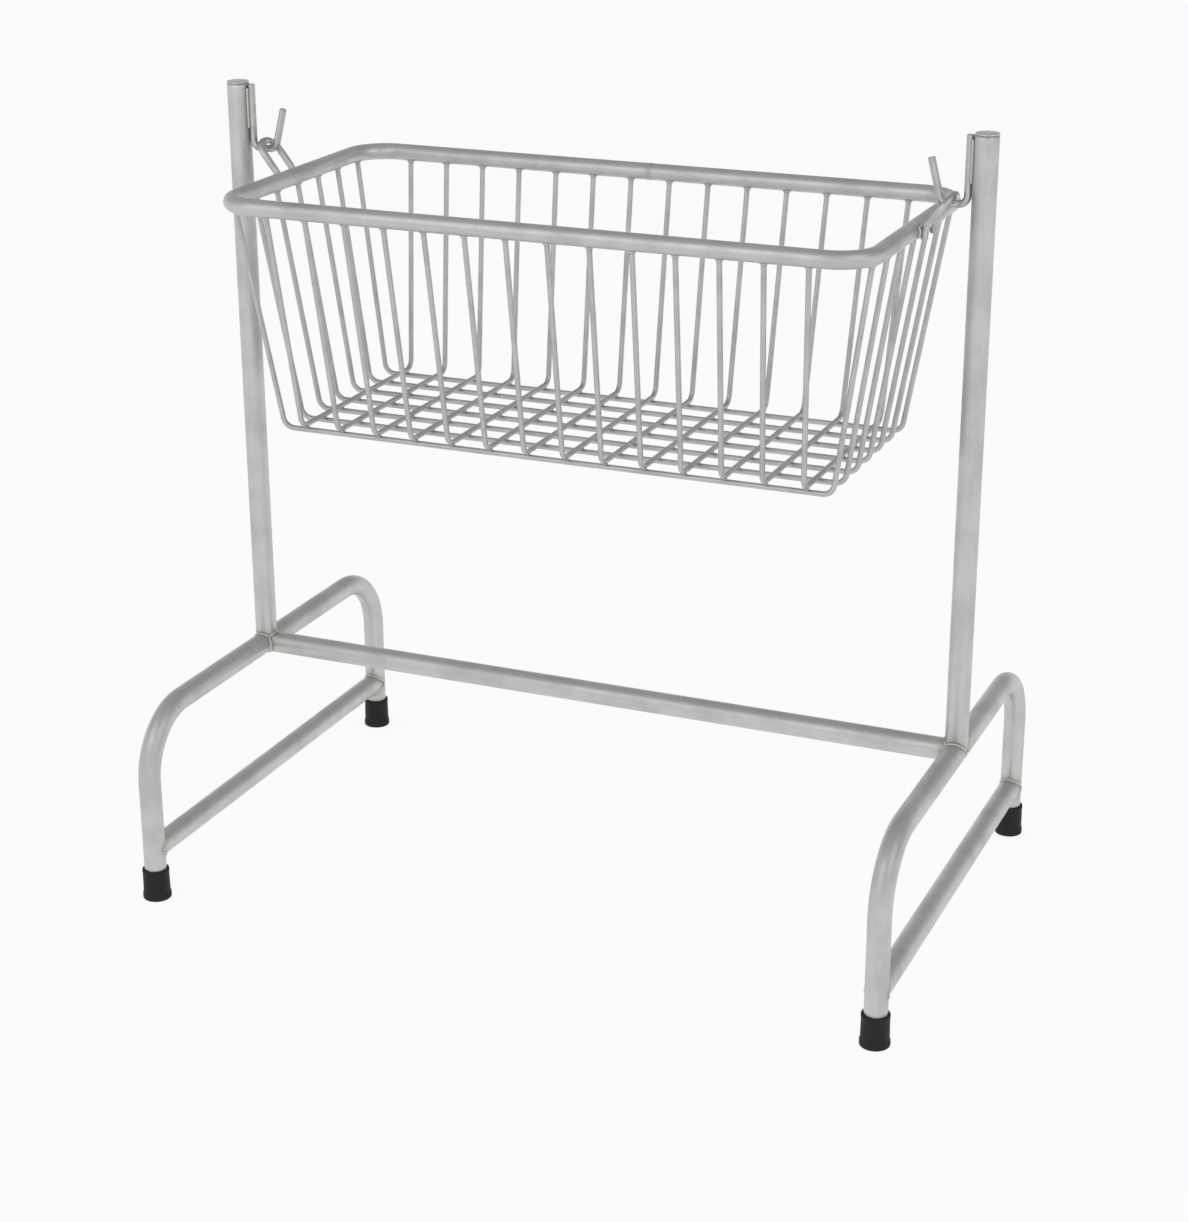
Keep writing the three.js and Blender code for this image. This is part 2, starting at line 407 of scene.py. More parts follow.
class Finish(Recipe):
    """One procedural material: a main shader, and the nodes that feed it."""

    def __init__(self, name, constants):
        self.material = bpy.data.materials.new(name)
        self.material.use_nodes = True
        super().__init__(self.material.node_tree)
        self.shader = self.tree.nodes["Principled BSDF"]
        self.surface = self.tree.nodes["Material Output"].inputs["Surface"]
        for socket, value in constants.items():
            self.join(value, self.shader.inputs[socket])

    def mark(self, name, output="Fac"):
        """What the mesh says of each of its points."""
        return self.node("ShaderNodeAttribute", {"attribute_name": name}, {}, output)

    def feed(self, colour, roughness, height, depth):
        """The colour, the roughness, and a height whose full range is so deep."""
        self.join(colour, self.shader.inputs["Base Color"])
        self.join(roughness, self.shader.inputs["Roughness"])
        raised = self.node("ShaderNodeBump", {}, {"Height": height, "Distance": depth, "Strength": 1.0})
        self.join(raised, self.shader.inputs["Normal"])


def rgb(red, green, blue):
    return (red, green, blue, 1.0)


def drawn_steel(name, bright, dull, line_width):
    """Drawn steel: fine lines along the stock, cloudy handling marks, heat colour beside the welds."""
    finish = Finish(name, {"Metallic": 1.0})
    drawn = finish.mark("drawn", "Vector")
    heat = finish.mark("weld_heat")
    lengthwise = finish.stretched(drawn, (1.0, 1.0, 0.012))
    lines = finish.cloud(lengthwise, 0.5 / line_width, detail=3.0, roughness=0.6)
    streaks = finish.cloud(finish.stretched(drawn, (1.0, 1.0, 0.06)), 420.0)
    handled = finish.cloud(drawn, 19.0, detail=4.0, roughness=0.6)
    specks = finish.cloud(drawn, 900.0)
    grooves = 1 - lines.between(0.35, 0.65)
    scratch = streaks.between(0.68, 0.74)
    dulled = handled.between(0.38, 0.68)
    pits = specks.between(0.70, 0.78)
    straw = heat.between(0.10, 0.55)
    blue = heat.between(0.50, 0.95)
    colour = finish.blend(dulled, bright, dull)
    colour = finish.blend(grooves * 0.22, colour, rgb(0.36, 0.37, 0.37))
    colour = finish.blend(scratch * 0.35, colour, rgb(0.68, 0.69, 0.68))
    colour = finish.blend(pits * 0.30, colour, rgb(0.26, 0.25, 0.24))
    colour = finish.blend(straw * 0.22, colour, rgb(0.48, 0.42, 0.31))
    colour = finish.blend(blue * 0.26, colour, rgb(0.32, 0.33, 0.36))
    satin = 0.41 + (lines - 0.5) * 0.16 + dulled * 0.09
    rough = satin - scratch * 0.08 + pits * 0.15 + heat.between(0.3, 0.9) * 0.12
    height = lines * 0.5 + scratch * 0.5 - pits
    finish.feed(colour, rough, height, depth=0.00003)
    return finish.material


def rod_steel(name, bright, dull):
    """Bent rod, rubbed bright where the loop swings on the hook."""
    finish = Finish(name, {"Metallic": 1.0})
    drawn = finish.mark("drawn", "Vector")
    heat = finish.mark("weld_heat")
    rub = finish.mark("rub")
    lines = finish.cloud(finish.stretched(drawn, (1.0, 1.0, 0.015)), 1500.0, detail=3.0, roughness=0.6)
    crosswise = finish.cloud(finish.stretched(drawn, (0.05, 0.05, 1.0)), 2600.0)
    handled = finish.cloud(drawn, 60.0, detail=3.0)
    grooves = 1 - lines.between(0.35, 0.65)
    dulled = handled.between(0.4, 0.7)
    straw = heat.between(0.15, 0.6)
    blue = heat.between(0.5, 0.95)
    grime = rub.between(0.05, 0.30) - rub.between(0.30, 0.60)
    polished = rub.between(0.35, 0.75)
    colour = finish.blend(dulled, bright, dull)
    colour = finish.blend(grooves * 0.2, colour, rgb(0.34, 0.35, 0.35))
    colour = finish.blend(straw * 0.16, colour, rgb(0.46, 0.41, 0.32))
    colour = finish.blend(blue * 0.18, colour, rgb(0.34, 0.35, 0.37))
    colour = finish.blend(grime * 0.40, colour, rgb(0.24, 0.235, 0.23))
    colour = finish.blend(polished * 0.7, colour, rgb(0.70, 0.71, 0.70))
    rough = 0.36 + (lines - 0.5) * 0.14 + dulled * 0.08 + grime * 0.2 - polished * 0.16
    height = lines * (1 - polished) + crosswise * polished * 0.8
    finish.feed(colour, rough, height, depth=0.00003)
    return finish.material


def weld_steel(name):
    """Bead metal: duller than the tube, straw-coloured in patches, brushed on its crowns, darkly grained."""
    finish = Finish(name, {"Metallic": 1.0})
    drawn = finish.mark("drawn", "Vector")
    grains = finish.cloud(drawn, 1400.0, detail=4.0, roughness=0.65)
    patches = finish.cloud(drawn, 240.0, detail=3.0)
    crowns = finish.node("ShaderNodeNewGeometry", {}, {}, "Pointiness").between(0.49, 0.56)
    colour = finish.blend(patches.between(0.35, 0.65), rgb(0.43, 0.435, 0.435), rgb(0.47, 0.455, 0.425))
    colour = finish.blend(crowns * 0.6, colour, rgb(0.60, 0.61, 0.605))
    colour = finish.blend(grains.between(0.62, 0.75) * 0.5, colour, rgb(0.28, 0.27, 0.265))
    rough = 0.46 + (grains - 0.5) * 0.3 - crowns * 0.1
    finish.feed(colour, rough, grains, depth=0.00012)
    return finish.material


def cap_steel(name):
    """Pressed plug: faint turned rings on the disc and a rubbed edge."""
    finish = Finish(name, {"Metallic": 1.0})
    drawn = finish.mark("drawn", "Vector")
    flat = finish.stretched(drawn, (1.0, 1.0, 0.0))
    from_axis = finish.node("ShaderNodeVectorMath", {"operation": "LENGTH"}, {0: flat}, "Value")
    ring_place = finish.node("ShaderNodeCombineXYZ", {}, {"X": from_axis})
    rings = finish.cloud(ring_place, 2600.0)
    handled = finish.cloud(drawn, 120.0, detail=3.0)
    rubbed = from_axis.between(0.0108, 0.0126)
    colour = finish.blend(handled.between(0.35, 0.65), rgb(0.61, 0.62, 0.61), rgb(0.54, 0.55, 0.54))
    colour = finish.blend((1 - rings.between(0.4, 0.6)) * 0.3, colour, rgb(0.36, 0.37, 0.37))
    colour = finish.blend(rubbed * 0.5, colour, rgb(0.66, 0.67, 0.66))
    rough = 0.34 + (rings - 0.5) * 0.2 + handled * 0.08 - rubbed * 0.06
    finish.feed(colour, rough, rings, depth=0.00004)
    return finish.material


def moulded_rubber(name):
    """Black moulded rubber: fine stipple, cloudy patches, dust and scuffs near the floor."""
    finish = Finish(name, {"Metallic": 0.0, "Specular IOR Level": 0.28})
    drawn = finish.mark("drawn", "Vector")
    height = finish.node("ShaderNodeSeparateXYZ", {}, {0: drawn}, "Z")
    stipple = finish.cloud(drawn, 1900.0, detail=3.0, roughness=0.6)
    patches = finish.cloud(drawn, 90.0, detail=3.0)
    drag = finish.cloud(finish.stretched(drawn, (0.25, 0.25, 1.0)), 700.0)
    low = 1 - height.between(0.001, 0.012)
    scuff = drag.between(0.58, 0.72) * low
    dust = patches.between(0.42, 0.72) * (0.25 + low * 0.75)
    colour = finish.blend(patches, rgb(0.010, 0.010, 0.0105), rgb(0.015, 0.015, 0.0145))
    colour = finish.blend(dust * 0.22, colour, rgb(0.06, 0.057, 0.052))
    colour = finish.blend(scuff * 0.6, colour, rgb(0.13, 0.125, 0.115))
    rough = 0.62 + (stipple - 0.5) * 0.25 + dust * 0.18 + scuff * 0.1
    finish.feed(colour, rough, stipple * 0.6 + scuff * 0.8, depth=0.00010)
    return finish.material


def studio_floor(name):
    """Pale seamless floor, lifted to white where it is seen, clear from below, the cradle's shadow kept."""
    finish = Finish(name, {"Roughness": 0.9, "Specular IOR Level": 0.1})
    places = finish.node("ShaderNodeTexCoord", {}, {}, "Object")
    patches = finish.cloud(places, 1.3)
    colour = finish.blend(patches, rgb(0.90, 0.90, 0.90), rgb(0.92, 0.92, 0.92))
    finish.join(colour, finish.shader.inputs["Base Color"])

    def ray(kind):
        return finish.node("ShaderNodeLightPath", {}, {}, f"Is {kind} Ray")

    seen = ray("Camera") + ray("Glossy") + ray("Transmission")
    white = finish.node("ShaderNodeEmission", {}, {"Color": rgb(1, 1, 1), "Strength": 1.0})
    painted = Shade(finish, finish.shader.outputs[0])
    lifted = finish.node("ShaderNodeMixShader", {}, {0: seen * 0.92, 1: painted, 2: white})
    below = finish.node("ShaderNodeNewGeometry", {}, {}, "Backfacing")
    clear = finish.node("ShaderNodeBsdfTransparent", {}, {})
    finish.join(finish.node("ShaderNodeMixShader", {}, {0: below, 1: lifted, 2: clear}), finish.surface)
    return finish.material


TUBE_LINE = 0.00035
RIM_LINE = 0.00030
WIRE_LINE = 0.00022

stand_steel = drawn_steel("stand_tube_steel", rgb(0.59, 0.605, 0.59), rgb(0.52, 0.535, 0.52), TUBE_LINE)
rim_steel = drawn_steel("basket_rim_steel", rgb(0.57, 0.58, 0.575), rgb(0.50, 0.51, 0.505), RIM_LINE)
wire_steel = drawn_steel("basket_wire_steel", rgb(0.54, 0.55, 0.54), rgb(0.46, 0.47, 0.46), WIRE_LINE)
hanging_steel = rod_steel("hanging_rod_steel", rgb(0.55, 0.56, 0.55), rgb(0.46, 0.47, 0.465))
bead_steel = weld_steel("weld_bead_steel")
plug_steel = cap_steel("upright_cap_steel")
ferrule_rubber = moulded_rubber("ferrule_rubber")
floor_paint = studio_floor("studio_floor")


# Basket wires


def spread(count, span, margin):
    """Even places across a span, a margin left at both ends."""
    pitch = (span - 2 * margin) / (count - 1)
    return [margin - span / 2 + i * pitch for i in range(count)]


def rim_reach(place, half_along, half_across):
    """How far out the rim's centreline lies, by the place along it."""
    past = max(0.0, abs(place) - (half_along - RIM_BEND))
    return half_across - RIM_BEND + math.sqrt(RIM_BEND * RIM_BEND - past * past)


def wire_end(rim_place, floor_place):
    """Where a wire stops, under the rim tube and in line with its centre."""
    return rim_place + (floor_place - rim_place).normalized() * (RIM + GAP)


cross_rim = spread(CROSS_WIRES, 2 * RIM_X, CROSS_RIM_MARGIN)
cross_floor = spread(CROSS_WIRES, FLOOR_LENGTH, CROSS_FLOOR_MARGIN)
cross_lean = math.atan2(RIM_Z - CROSS_FLOOR_Z, RIM_Y - FLOOR_WIDTH / 2)
long_rim = spread(LONG_WIRES, 2 * RIM_Y, LONG_RIM_MARGIN)
long_floor = spread(LONG_WIRES, FLOOR_WIDTH, WIRE_BEND * math.tan(cross_lean / 2))

trough_wires = []
for number, (rim_x, floor_x) in enumerate(zip(cross_rim, cross_floor), 1):
    reach = rim_reach(rim_x, RIM_X, RIM_Y)
    tops = [Vector((rim_x, end * reach, RIM_Z)) for end in (-1, 1)]
    bends = [Vector((floor_x, end * FLOOR_WIDTH / 2, CROSS_FLOOR_Z)) for end in (-1, 1)]
    trough_wires.append((f"cross_wire_{number:02d}", tops, bends, Vector((1, 0, 0))))
for number, (rim_y, floor_y) in enumerate(zip(long_rim, long_floor), 1):
    reach = rim_reach(rim_y, RIM_Y, RIM_X)
    tops = [Vector((end * reach, rim_y, RIM_Z)) for end in (-1, 1)]
    bends = [Vector((end * FLOOR_LENGTH / 2, floor_y, LONG_FLOOR_Z)) for end in (-1, 1)]
    trough_wires.append((f"long_wire_{number}", tops, bends, Vector((0, 1, 0))))


# Welds

TUBE_BEAD = 0.0019
ROD_BEAD = 0.0018
WIRE_BEAD = 0.0012
WIRE_BEAD_STRAY = 0.0002
BUTT_BEAD = 0.0010
SPOT_RADIUS = 0.0027
SPOT_HEIGHT = 0.0013
SPOT_SIDES = 10
SPOT_LEVELS = (-80, -45, 0, 45, 80)
SPOT_SPREAD = (0.9, 1.08)
BEAD_SIDES = 9
RIPPLE_FOOT = 0.84
RIPPLE_SWELL = 0.2
RIPPLE_STRAY = 0.04
BEAD_PITCH = 0.0024
WIRE_BEAD_PITCH = 0.0023
BUTT_BEAD_PITCH = 0.0022
TUBE_BEAD_STATIONS = 180
SHANK_BEAD_STATIONS = 60
LOOP_BEAD_STATIONS = 24
WIRE_BEAD_STATIONS = 36
BUTT_BEAD_STATIONS = 60

rng = random.Random(41)
weld_places = {"stand": [], "basket": []}
weld_stock = {"stand": Stock(), "basket": Stock()}


def weld_bead(body, path, sizes, pitch, guide=None):
    """A rippled bead along a path of places. It is a closed ring when no guide across it is given."""
    weld_places[body].extend(path)
    stock = weld_stock[body]
    closed = guide is None
    count = len(path)
    centre = sum(path, Vector()) / count
    turns = full_turn(BEAD_SIDES)
    rings = []
    travelled = 0.0
    for k, place in enumerate(path):
        ahead = path[(k + 1) % count] if closed or k + 1 < count else place
        behind = path[k - 1] if closed or k else place
        direction = (ahead - behind).normalized()
        travelled += (place - path[k - 1]).length if k else 0.0
        ripple = abs(math.sin(math.pi * travelled / pitch))
        size = sizes[k] * (RIPPLE_FOOT + RIPPLE_SWELL * ripple + rng.uniform(-RIPPLE_STRAY, RIPPLE_STRAY))
        across = place - centre if closed else guide
        other = direction.cross(across).normalized()
        side = other.cross(direction)
        points = [place + swung(side, other, a) * size for a in turns]
        drawn = [polar(a, size, travelled) for a in turns]
        rings.append(stock.ring(points, drawn))
    stock.loft(rings, closed)


def weld_run(body, path, radius, guide):
    """An open bead that starts and ends round."""
    round_end = 1.4 * radius
    blunt = 0.0002
    last = len(path) - 1
    step = (path[1] - path[0]).length
    from_end = [min(k, last - k) * step + blunt for k in range(last + 1)]
    sizes = [radius * math.sqrt(max(0.0, 1 - max(0.0, 1 - run / round_end) ** 2)) for run in from_end]
    weld_bead(body, path, sizes, BEAD_PITCH, guide)


def spot_weld(centre):
    """A small nugget squeezed out where two wires cross."""
    weld_places["basket"].append(centre)
    stock = weld_stock["basket"]
    rings = []
    for level in SPOT_LEVELS:
        tilt = math.radians(level)
        reach = SPOT_RADIUS * math.cos(tilt)
        rise = SPOT_HEIGHT * math.sin(tilt)
        places = [centre + polar(a, reach * rng.uniform(*SPOT_SPREAD), rise) for a in full_turn(SPOT_SIDES)]
        rings.append(stock.ring(places, places))
    stock.loft(rings)


def weld_tube_end(start, direction, trim):
    """The bead round a coped tube end, thinner where the two tubes run past each other."""
    outside = 0.0003
    set_back = 0.0002
    smoothings = 6
    thinnest = 0.55
    thickening = 0.65
    offsets = straight_offsets(direction, TUBE + outside, TUBE_BEAD_STATIONS)
    path = [start + offset + direction * (trim(offset) + set_back) for offset in offsets]
    for _ in range(smoothings):
        path = [(path[k - 1] + path[k] * 2 + path[(k + 1) % len(path)]) / 4 for k in range(len(path))]
    shares = [(place - start).dot(direction) / TUBE for place in path]
    sizes = [TUBE_BEAD * min(1.0, thinnest + thickening * share) for share in shares]
    weld_bead("stand", path, sizes, BEAD_PITCH)


def weld_shank(side):
    """Two beads in the corners between the hook's shank and the upright."""
    outside = 0.0013
    bottom = PIVOT_Z + 0.022
    top = SHANK_TOP - 0.004
    apart = UPRIGHT_X - SHANK_X
    to_tube = TUBE + outside
    to_rod = ROD + outside
    inward = (apart * apart + to_tube * to_tube - to_rod * to_rod) / (2 * apart)
    beside = math.sqrt(to_tube * to_tube - inward * inward)
    heights = [bottom + (top - bottom) * k / SHANK_BEAD_STATIONS for k in range(SHANK_BEAD_STATIONS + 1)]
    for edge in (-1, 1):
        path = [Vector((side * (UPRIGHT_X - inward), edge * beside, height)) for height in heights]
        weld_run("stand", path, ROD_BEAD, Vector((1, 0, 0)))


def weld_loop_feet(side):
    """Two beads beside each foot of the hanger loop, round the outer side of the rim."""
    reach = RIM + 0.0007
    beside = ROD + 0.0002
    half_angle = 38
    shares = [2 * k / LOOP_BEAD_STATIONS - 1 for k in range(LOOP_BEAD_STATIONS + 1)]
    angles = [math.radians(half_angle * share) for share in shares]
    arc = [(side * (RIM_X + math.cos(a) * reach), RIM_Z + math.sin(a) * reach) for a in angles]
    for leg in (-1, 1):
        for edge in (-1, 1):
            path = [Vector((x, leg * LOOP_Y + edge * beside, z)) for x, z in arc]
            weld_run("basket", path, ROD_BEAD, Vector((0, 1, 0)))


def weld_wire_end(rim_place, floor_place, rim_run):
    """A small bead round the wire where it meets the rim, following the round of the rim tube."""
    radius = WIRE + 0.0002
    below = 0.0003
    down = (floor_place - rim_place).normalized()
    seat = wire_end(rim_place, floor_place) + down * below
    across = rim_run.cross(down).normalized()
    along = down.cross(across)
    ring = []
    for angle in full_turn(WIRE_BEAD_STATIONS):
        wide = math.cos(angle) * radius
        fall = RIM - math.sqrt(RIM * RIM - wide * wide)
        ring.append(seat + across * wide + along * math.sin(angle) * radius - down * fall)
    size = WIRE_BEAD + rng.uniform(0.0, WIRE_BEAD_STRAY)
    weld_bead("basket", ring, [size] * len(ring), WIRE_BEAD_PITCH)


def weld_rim_butt():
    """The bead round the rim where the ends of its tube meet, nearly flush."""
    reach = RIM - 0.0004
    butt = Vector((0, RIM_Y, RIM_Z))
    ring = [butt + Vector((0, math.cos(a), math.sin(a))) * reach for a in full_turn(BUTT_BEAD_STATIONS)]
    weld_bead("basket", ring, [BUTT_BEAD] * len(ring), BUTT_BEAD_PITCH)


for side in (-1, 1):
    foot = Vector((side * UPRIGHT_X, 0, ARCH_Z))
    weld_tube_end(foot, UP, frame_trim)
    weld_tube_end(foot, Vector((-side, 0, 0)), rail_trim)
    for leg in (-1, 1):
        weld_tube_end(Vector((side * UPRIGHT_X, leg * LEG_Y, STRETCHER_Z)), Vector((0, -leg, 0)), frame_trim)
    weld_shank(side)
    weld_loop_feet(side)

for _, tops, bends, rim_run in trough_wires:
    for top, bend in zip(tops, bends):
        weld_wire_end(top, bend, rim_run)

crossing_z = (CROSS_FLOOR_Z + LONG_FLOOR_Z) / 2
for floor_x in cross_floor:
    for floor_y in long_floor:
        spot_weld(Vector((floor_x, floor_y, crossing_z)))

weld_rim_butt()


# Pieces

STAND_HEAT_REACH = 0.007
ROD_HEAT_REACH = 0.005
RIM_HEAT_REACH = 0.0045
WIRE_HEAT_REACH = 0.004
RUB_REACH = 0.008


def nearest(places):
    tree = KDTree(len(places))
    for index, place in enumerate(places):
        tree.insert(place, index)
    tree.balance()
    return tree


weld_finder = {body: nearest(places) for body, places in weld_places.items()}
rub_finder = nearest([Vector((side * LOOP_TOP_X, 0, PIVOT_Z + ROD)) for side in (-1, 1)])


def set_closeness(mesh, name, finder, reach):
    """Marks each point by how near it lies to the places of a finder: 1 there, fading to 0 past the reach."""
    mark = mesh.attributes.new(name, "FLOAT", "POINT")
    spans = [finder.find(point.co)[2] / reach for point in mesh.vertices]
    mark.data.foreach_set("value", [math.exp(-span * span) for span in spans])


def finished(name, stock, finish, body, node=None, heat_reach=STAND_HEAT_REACH):
    """One finished piece on its body, marked with its stock places, weld heat and rubbing."""
    mesh = bpy.data.meshes.new(name)
    mesh.from_pydata(stock.points, [], stock.faces)
    mesh.polygons.foreach_set("use_smooth", [True] * len(mesh.polygons))
    drawn = mesh.attributes.new("drawn", "FLOAT_VECTOR", "POINT")
    drawn.data.foreach_set("vector", [value for place in stock.drawn for value in place])
    set_closeness(mesh, "weld_heat", weld_finder[body], heat_reach)
    set_closeness(mesh, "rub", rub_finder, RUB_REACH)
    mesh.materials.append(finish)
    piece = bpy.data.objects.new(name, mesh)
    bpy.context.scene.collection.objects.link(piece)
    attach(piece, body)
    if node:
        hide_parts(node)


def end_frame_tube(end, side):
    stock = Stock(FRAME_CUT + side)
    x = side * UPRIGHT_X
    corners = [
        Vector((x, -LEG_Y, LEG_FOOT)),
        Vector((x, -LEG_Y, ARCH_Z)),
        Vector((x, LEG_Y, ARCH_Z)),
        Vector((x, LEG_Y, LEG_FOOT)),
    ]
    round_bar(stock, bent_line(corners, ARCH_BEND, TUBE_STEP, TUBE_BEND_STEP), TUBE, TUBE_SIDES, TUBE_EDGE)
    node = f"{end}_end_frame"
    finished(f"{node}_tube", stock, stand_steel, "stand", node)


def stretcher_tube(end, side):
    stock = Stock(STRETCHER_CUT + side)
    front = Vector((side * UPRIGHT_X, -LEG_Y, STRETCHER_Z))
    back = Vector((side * UPRIGHT_X, LEG_Y, STRETCHER_Z))
    coped_tube(stock, front, back, frame_trim, frame_trim)
    node = f"{end}_stretcher"
    finished(f"{node}_tube", stock, stand_steel, "stand", node)


def upright_tube(end, side):
    stock = Stock(UPRIGHT_CUT + side)
    foot = Vector((side * UPRIGHT_X, 0, ARCH_Z))
    top = Vector((side * UPRIGHT_X, 0, UPRIGHT_TOP))
    coped_tube(stock, foot, top, frame_trim, square_trim)
    node = f"{end}_upright"
    finished(f"{node}_tube", stock, stand_steel, "stand", node)


def upright_plug(end, side):
    """Flat plug with a broken lower edge, a rounded upper edge and a slightly crowned disc."""
    stock = Stock(PLUG_CUT + side)
    axis = 0.0005
    base = UPRIGHT_TOP + GAP
    height = CAP_TOP - base
    edge = 0.0009
    shoulder = height - 0.0003
    profile = [(axis, 0.0), (TUBE - 0.0007, 0.0), (TUBE - 0.0002, 0.0002), (TUBE, 0.0005)]
    profile += rounding(TUBE - edge, shoulder - edge, edge, (0, 22.5, 45, 67.5, 90))
    profile += [(TUBE * 0.75, height - 0.00012), (TUBE * 0.4, height - 0.00003), (axis, height)]
    turned(stock, Vector((side * UPRIGHT_X, 0, base)), profile)
    node = f"{end}_upright_cap"
    finished(f"{node}_plug", stock, plug_steel, "stand", node)


def hook_rod(end, side):
    stock = Stock(HOOK_CUT + side)
    corners = [
        Vector((side * SHANK_X, 0, SHANK_TOP)),
        Vector((side * SHANK_X, 0, PIVOT_Z)),
        Vector((side * (UPRIGHT_X - HOOK_REACH), 0, PIVOT_Z)),
        Vector((side * (UPRIGHT_X - HOOK_REACH - HOOK_TIP_LEAN), 0, PIVOT_Z + HOOK_TIP_RISE)),
    ]
    round_bar(stock, bent_line(corners, HOOK_BEND, ROD_STEP, ROD_BEND_STEP), ROD, ROD_SIDES, ROD_EDGE)
    node = f"{end}_hook"
    finished(f"{node}_rod", stock, hanging_steel, "stand", node, ROD_HEAT_REACH)


def ferrule_cup(end, place, side, leg):
    """Cup with a treaded sole, a thick foot, a slight taper and a rounded lip round the leg."""
    stock = Stock()
    groove = 0.0009
    tread_rings = (0.0030, 0.0062, 0.0094, 0.0126)
    tread_width = 0.0022
    tread_slope = 0.0003
    edge = 0.0012
    floor = 0.0060
    axis = 0.0006
    foot, lip, top = FERRULE_FOOT, FERRULE_LIP, FERRULE_TOP
    bore = TUBE + GAP
    profile = [(axis, groove), (0.0026, groove)]
    for ring in tread_rings:
        profile += [(ring, groove), (ring + tread_slope, 0.0)]
        profile += [(ring + tread_width - tread_slope, 0.0), (ring + tread_width, groove)]
    profile += [(foot - 0.0016, groove), (foot - 0.0013, 0.0)]
    profile += rounding(foot - edge, edge, edge, (-60, -30, 0))
    profile += [(foot - 0.0001, 0.0062), (foot - 0.0003, 0.0068), (foot - 0.0007, 0.0072)]
    profile += [(foot - 0.0009, 0.0078), (foot - 0.0010, 0.0120), (lip - 0.0003, top - 0.0062)]
    profile += [(lip - 0.0003, top - 0.0052), (lip, top - 0.0044), (lip, top - 0.0014)]
    profile += rounding(lip - edge, top - edge, edge, (30, 60, 90))
    profile += [(bore + 0.0005, top), (bore, top - 0.0005), (bore, floor + 0.0002), (axis, floor)]
    turned(stock, Vector((side * UPRIGHT_X, leg * LEG_Y, 0)), profile)
    node = f"{end}_{place}_ferrule"
    finished(f"{node}_cup", stock, ferrule_rubber, "stand", node)


def rail_tube():
    stock = Stock(RAIL_CUT)
    left = Vector((-UPRIGHT_X, 0, ARCH_Z))
    right = Vector((UPRIGHT_X, 0, ARCH_Z))
    coped_tube(stock, left, right, rail_trim, rail_trim)
    finished("cross_rail_tube", stock, stand_steel, "stand", "cross_rail")


def rim_tube():
    stock = Stock(RIM_CUT)
    corners = [Vector((x, y, RIM_Z)) for x, y in (
        (-GAP, RIM_Y), (-RIM_X, RIM_Y), (-RIM_X, -RIM_Y), (RIM_X, -RIM_Y), (RIM_X, RIM_Y), (GAP, RIM_Y))]
    round_bar(stock, bent_line(corners, RIM_BEND, TUBE_STEP, TUBE_BEND_STEP), RIM, RIM_SIDES, RIM_EDGE)
    finished("rim_tube", stock, rim_steel, "basket", "rim", RIM_HEAT_REACH)


def loop_rod(end, side):
    stock = Stock(LOOP_CUT + side)
    foot_x, top_x = side * LOOP_FOOT_X, side * LOOP_TOP_X
    corners = [
        Vector((foot_x, -LOOP_Y, LOOP_FOOT_Z)),
        Vector((foot_x, -LOOP_Y, RIM_Z + LOOP_KINK)),
        Vector((top_x, -LOOP_Y, LOOP_TOP_Z)),
        Vector((top_x, LOOP_Y, LOOP_TOP_Z)),
        Vector((foot_x, LOOP_Y, RIM_Z + LOOP_KINK)),
        Vector((foot_x, LOOP_Y, LOOP_FOOT_Z)),
    ]
    round_bar(stock, bent_line(corners, LOOP_BEND, ROD_STEP, ROD_BEND_STEP), ROD, ROD_SIDES, ROD_EDGE)
    node = f"{end}_hanger_loop"
    finished(f"{node}_rod", stock, hanging_steel, "basket", node, ROD_HEAT_REACH)


def trough_wire(node, tops, bends, index):
    stock = Stock(WIRE_CUT + WIRE_CUT_STEP * index)
    ends = [wire_end(top, bend) for top, bend in zip(tops, bends)]
    corners = [ends[0], bends[0], bends[1], ends[1]]
    round_bar(stock, bent_line(corners, WIRE_BEND, WIRE_STEP, WIRE_BEND_STEP), WIRE, WIRE_SIDES, WIRE_EDGE)
    finished(f"{node}_steel", stock, wire_steel, "basket", node, WIRE_HEAT_REACH)


for end, side in (("left", -1), ("right", 1)):
    end_frame_tube(end, side)
    stretcher_tube(end, side)
    upright_tube(end, side)
    upright_plug(end, side)
    hook_rod(end, side)
    loop_rod(end, side)
    for place, leg in (("front", -1), ("back", 1)):
        ferrule_cup(end, place, side, leg)
rail_tube()
rim_tube()
for index, (node, tops, bends, _) in enumerate(trough_wires):
    trough_wire(node, tops, bends, index)
finished("stand_weld_beads", weld_stock["stand"], bead_steel, "stand")
finished("basket_weld_beads", weld_stock["basket"], bead_steel, "basket")


# Studio


def studio_ground():
    """A wide disc just under the ferrules' soles."""
    sink = 0.0004
    sides = 96
    stock = Stock()
    rings = []
    for radius in (0.4, 1.2, 3.0, 8.0, 24.0, 60.0):
        rim = [polar(a, radius, -sink) for a in full_turn(sides)]
        rings.append(stock.ring(rim, rim))
    for lower, upper in zip(rings, rings[1:]):
        stock.skin(upper, lower)
    stock.lid(rings[0], True)
    mesh = bpy.data.meshes.new("studio_ground")
    mesh.from_pydata(stock.points, [], stock.faces)
    mesh.materials.append(floor_paint)
    ground = bpy.data.objects.new("studio_ground", mesh)
    bpy.context.scene.collection.objects.link(ground)


def softbox(name, place, target, width, height, power):
    lamp = bpy.data.lights.new(name, "AREA")
    lamp.shape = "RECTANGLE"
    lamp.size = width
    lamp.size_y = height
    lamp.energy = power
    holder = bpy.data.objects.new(name, lamp)
    holder.location = place
    holder.visible_camera = False
    holder.rotation_euler = (Vector(target) - Vector(place)).to_track_quat("-Z", "Y").to_euler()
    bpy.context.scene.collection.objects.link(holder)


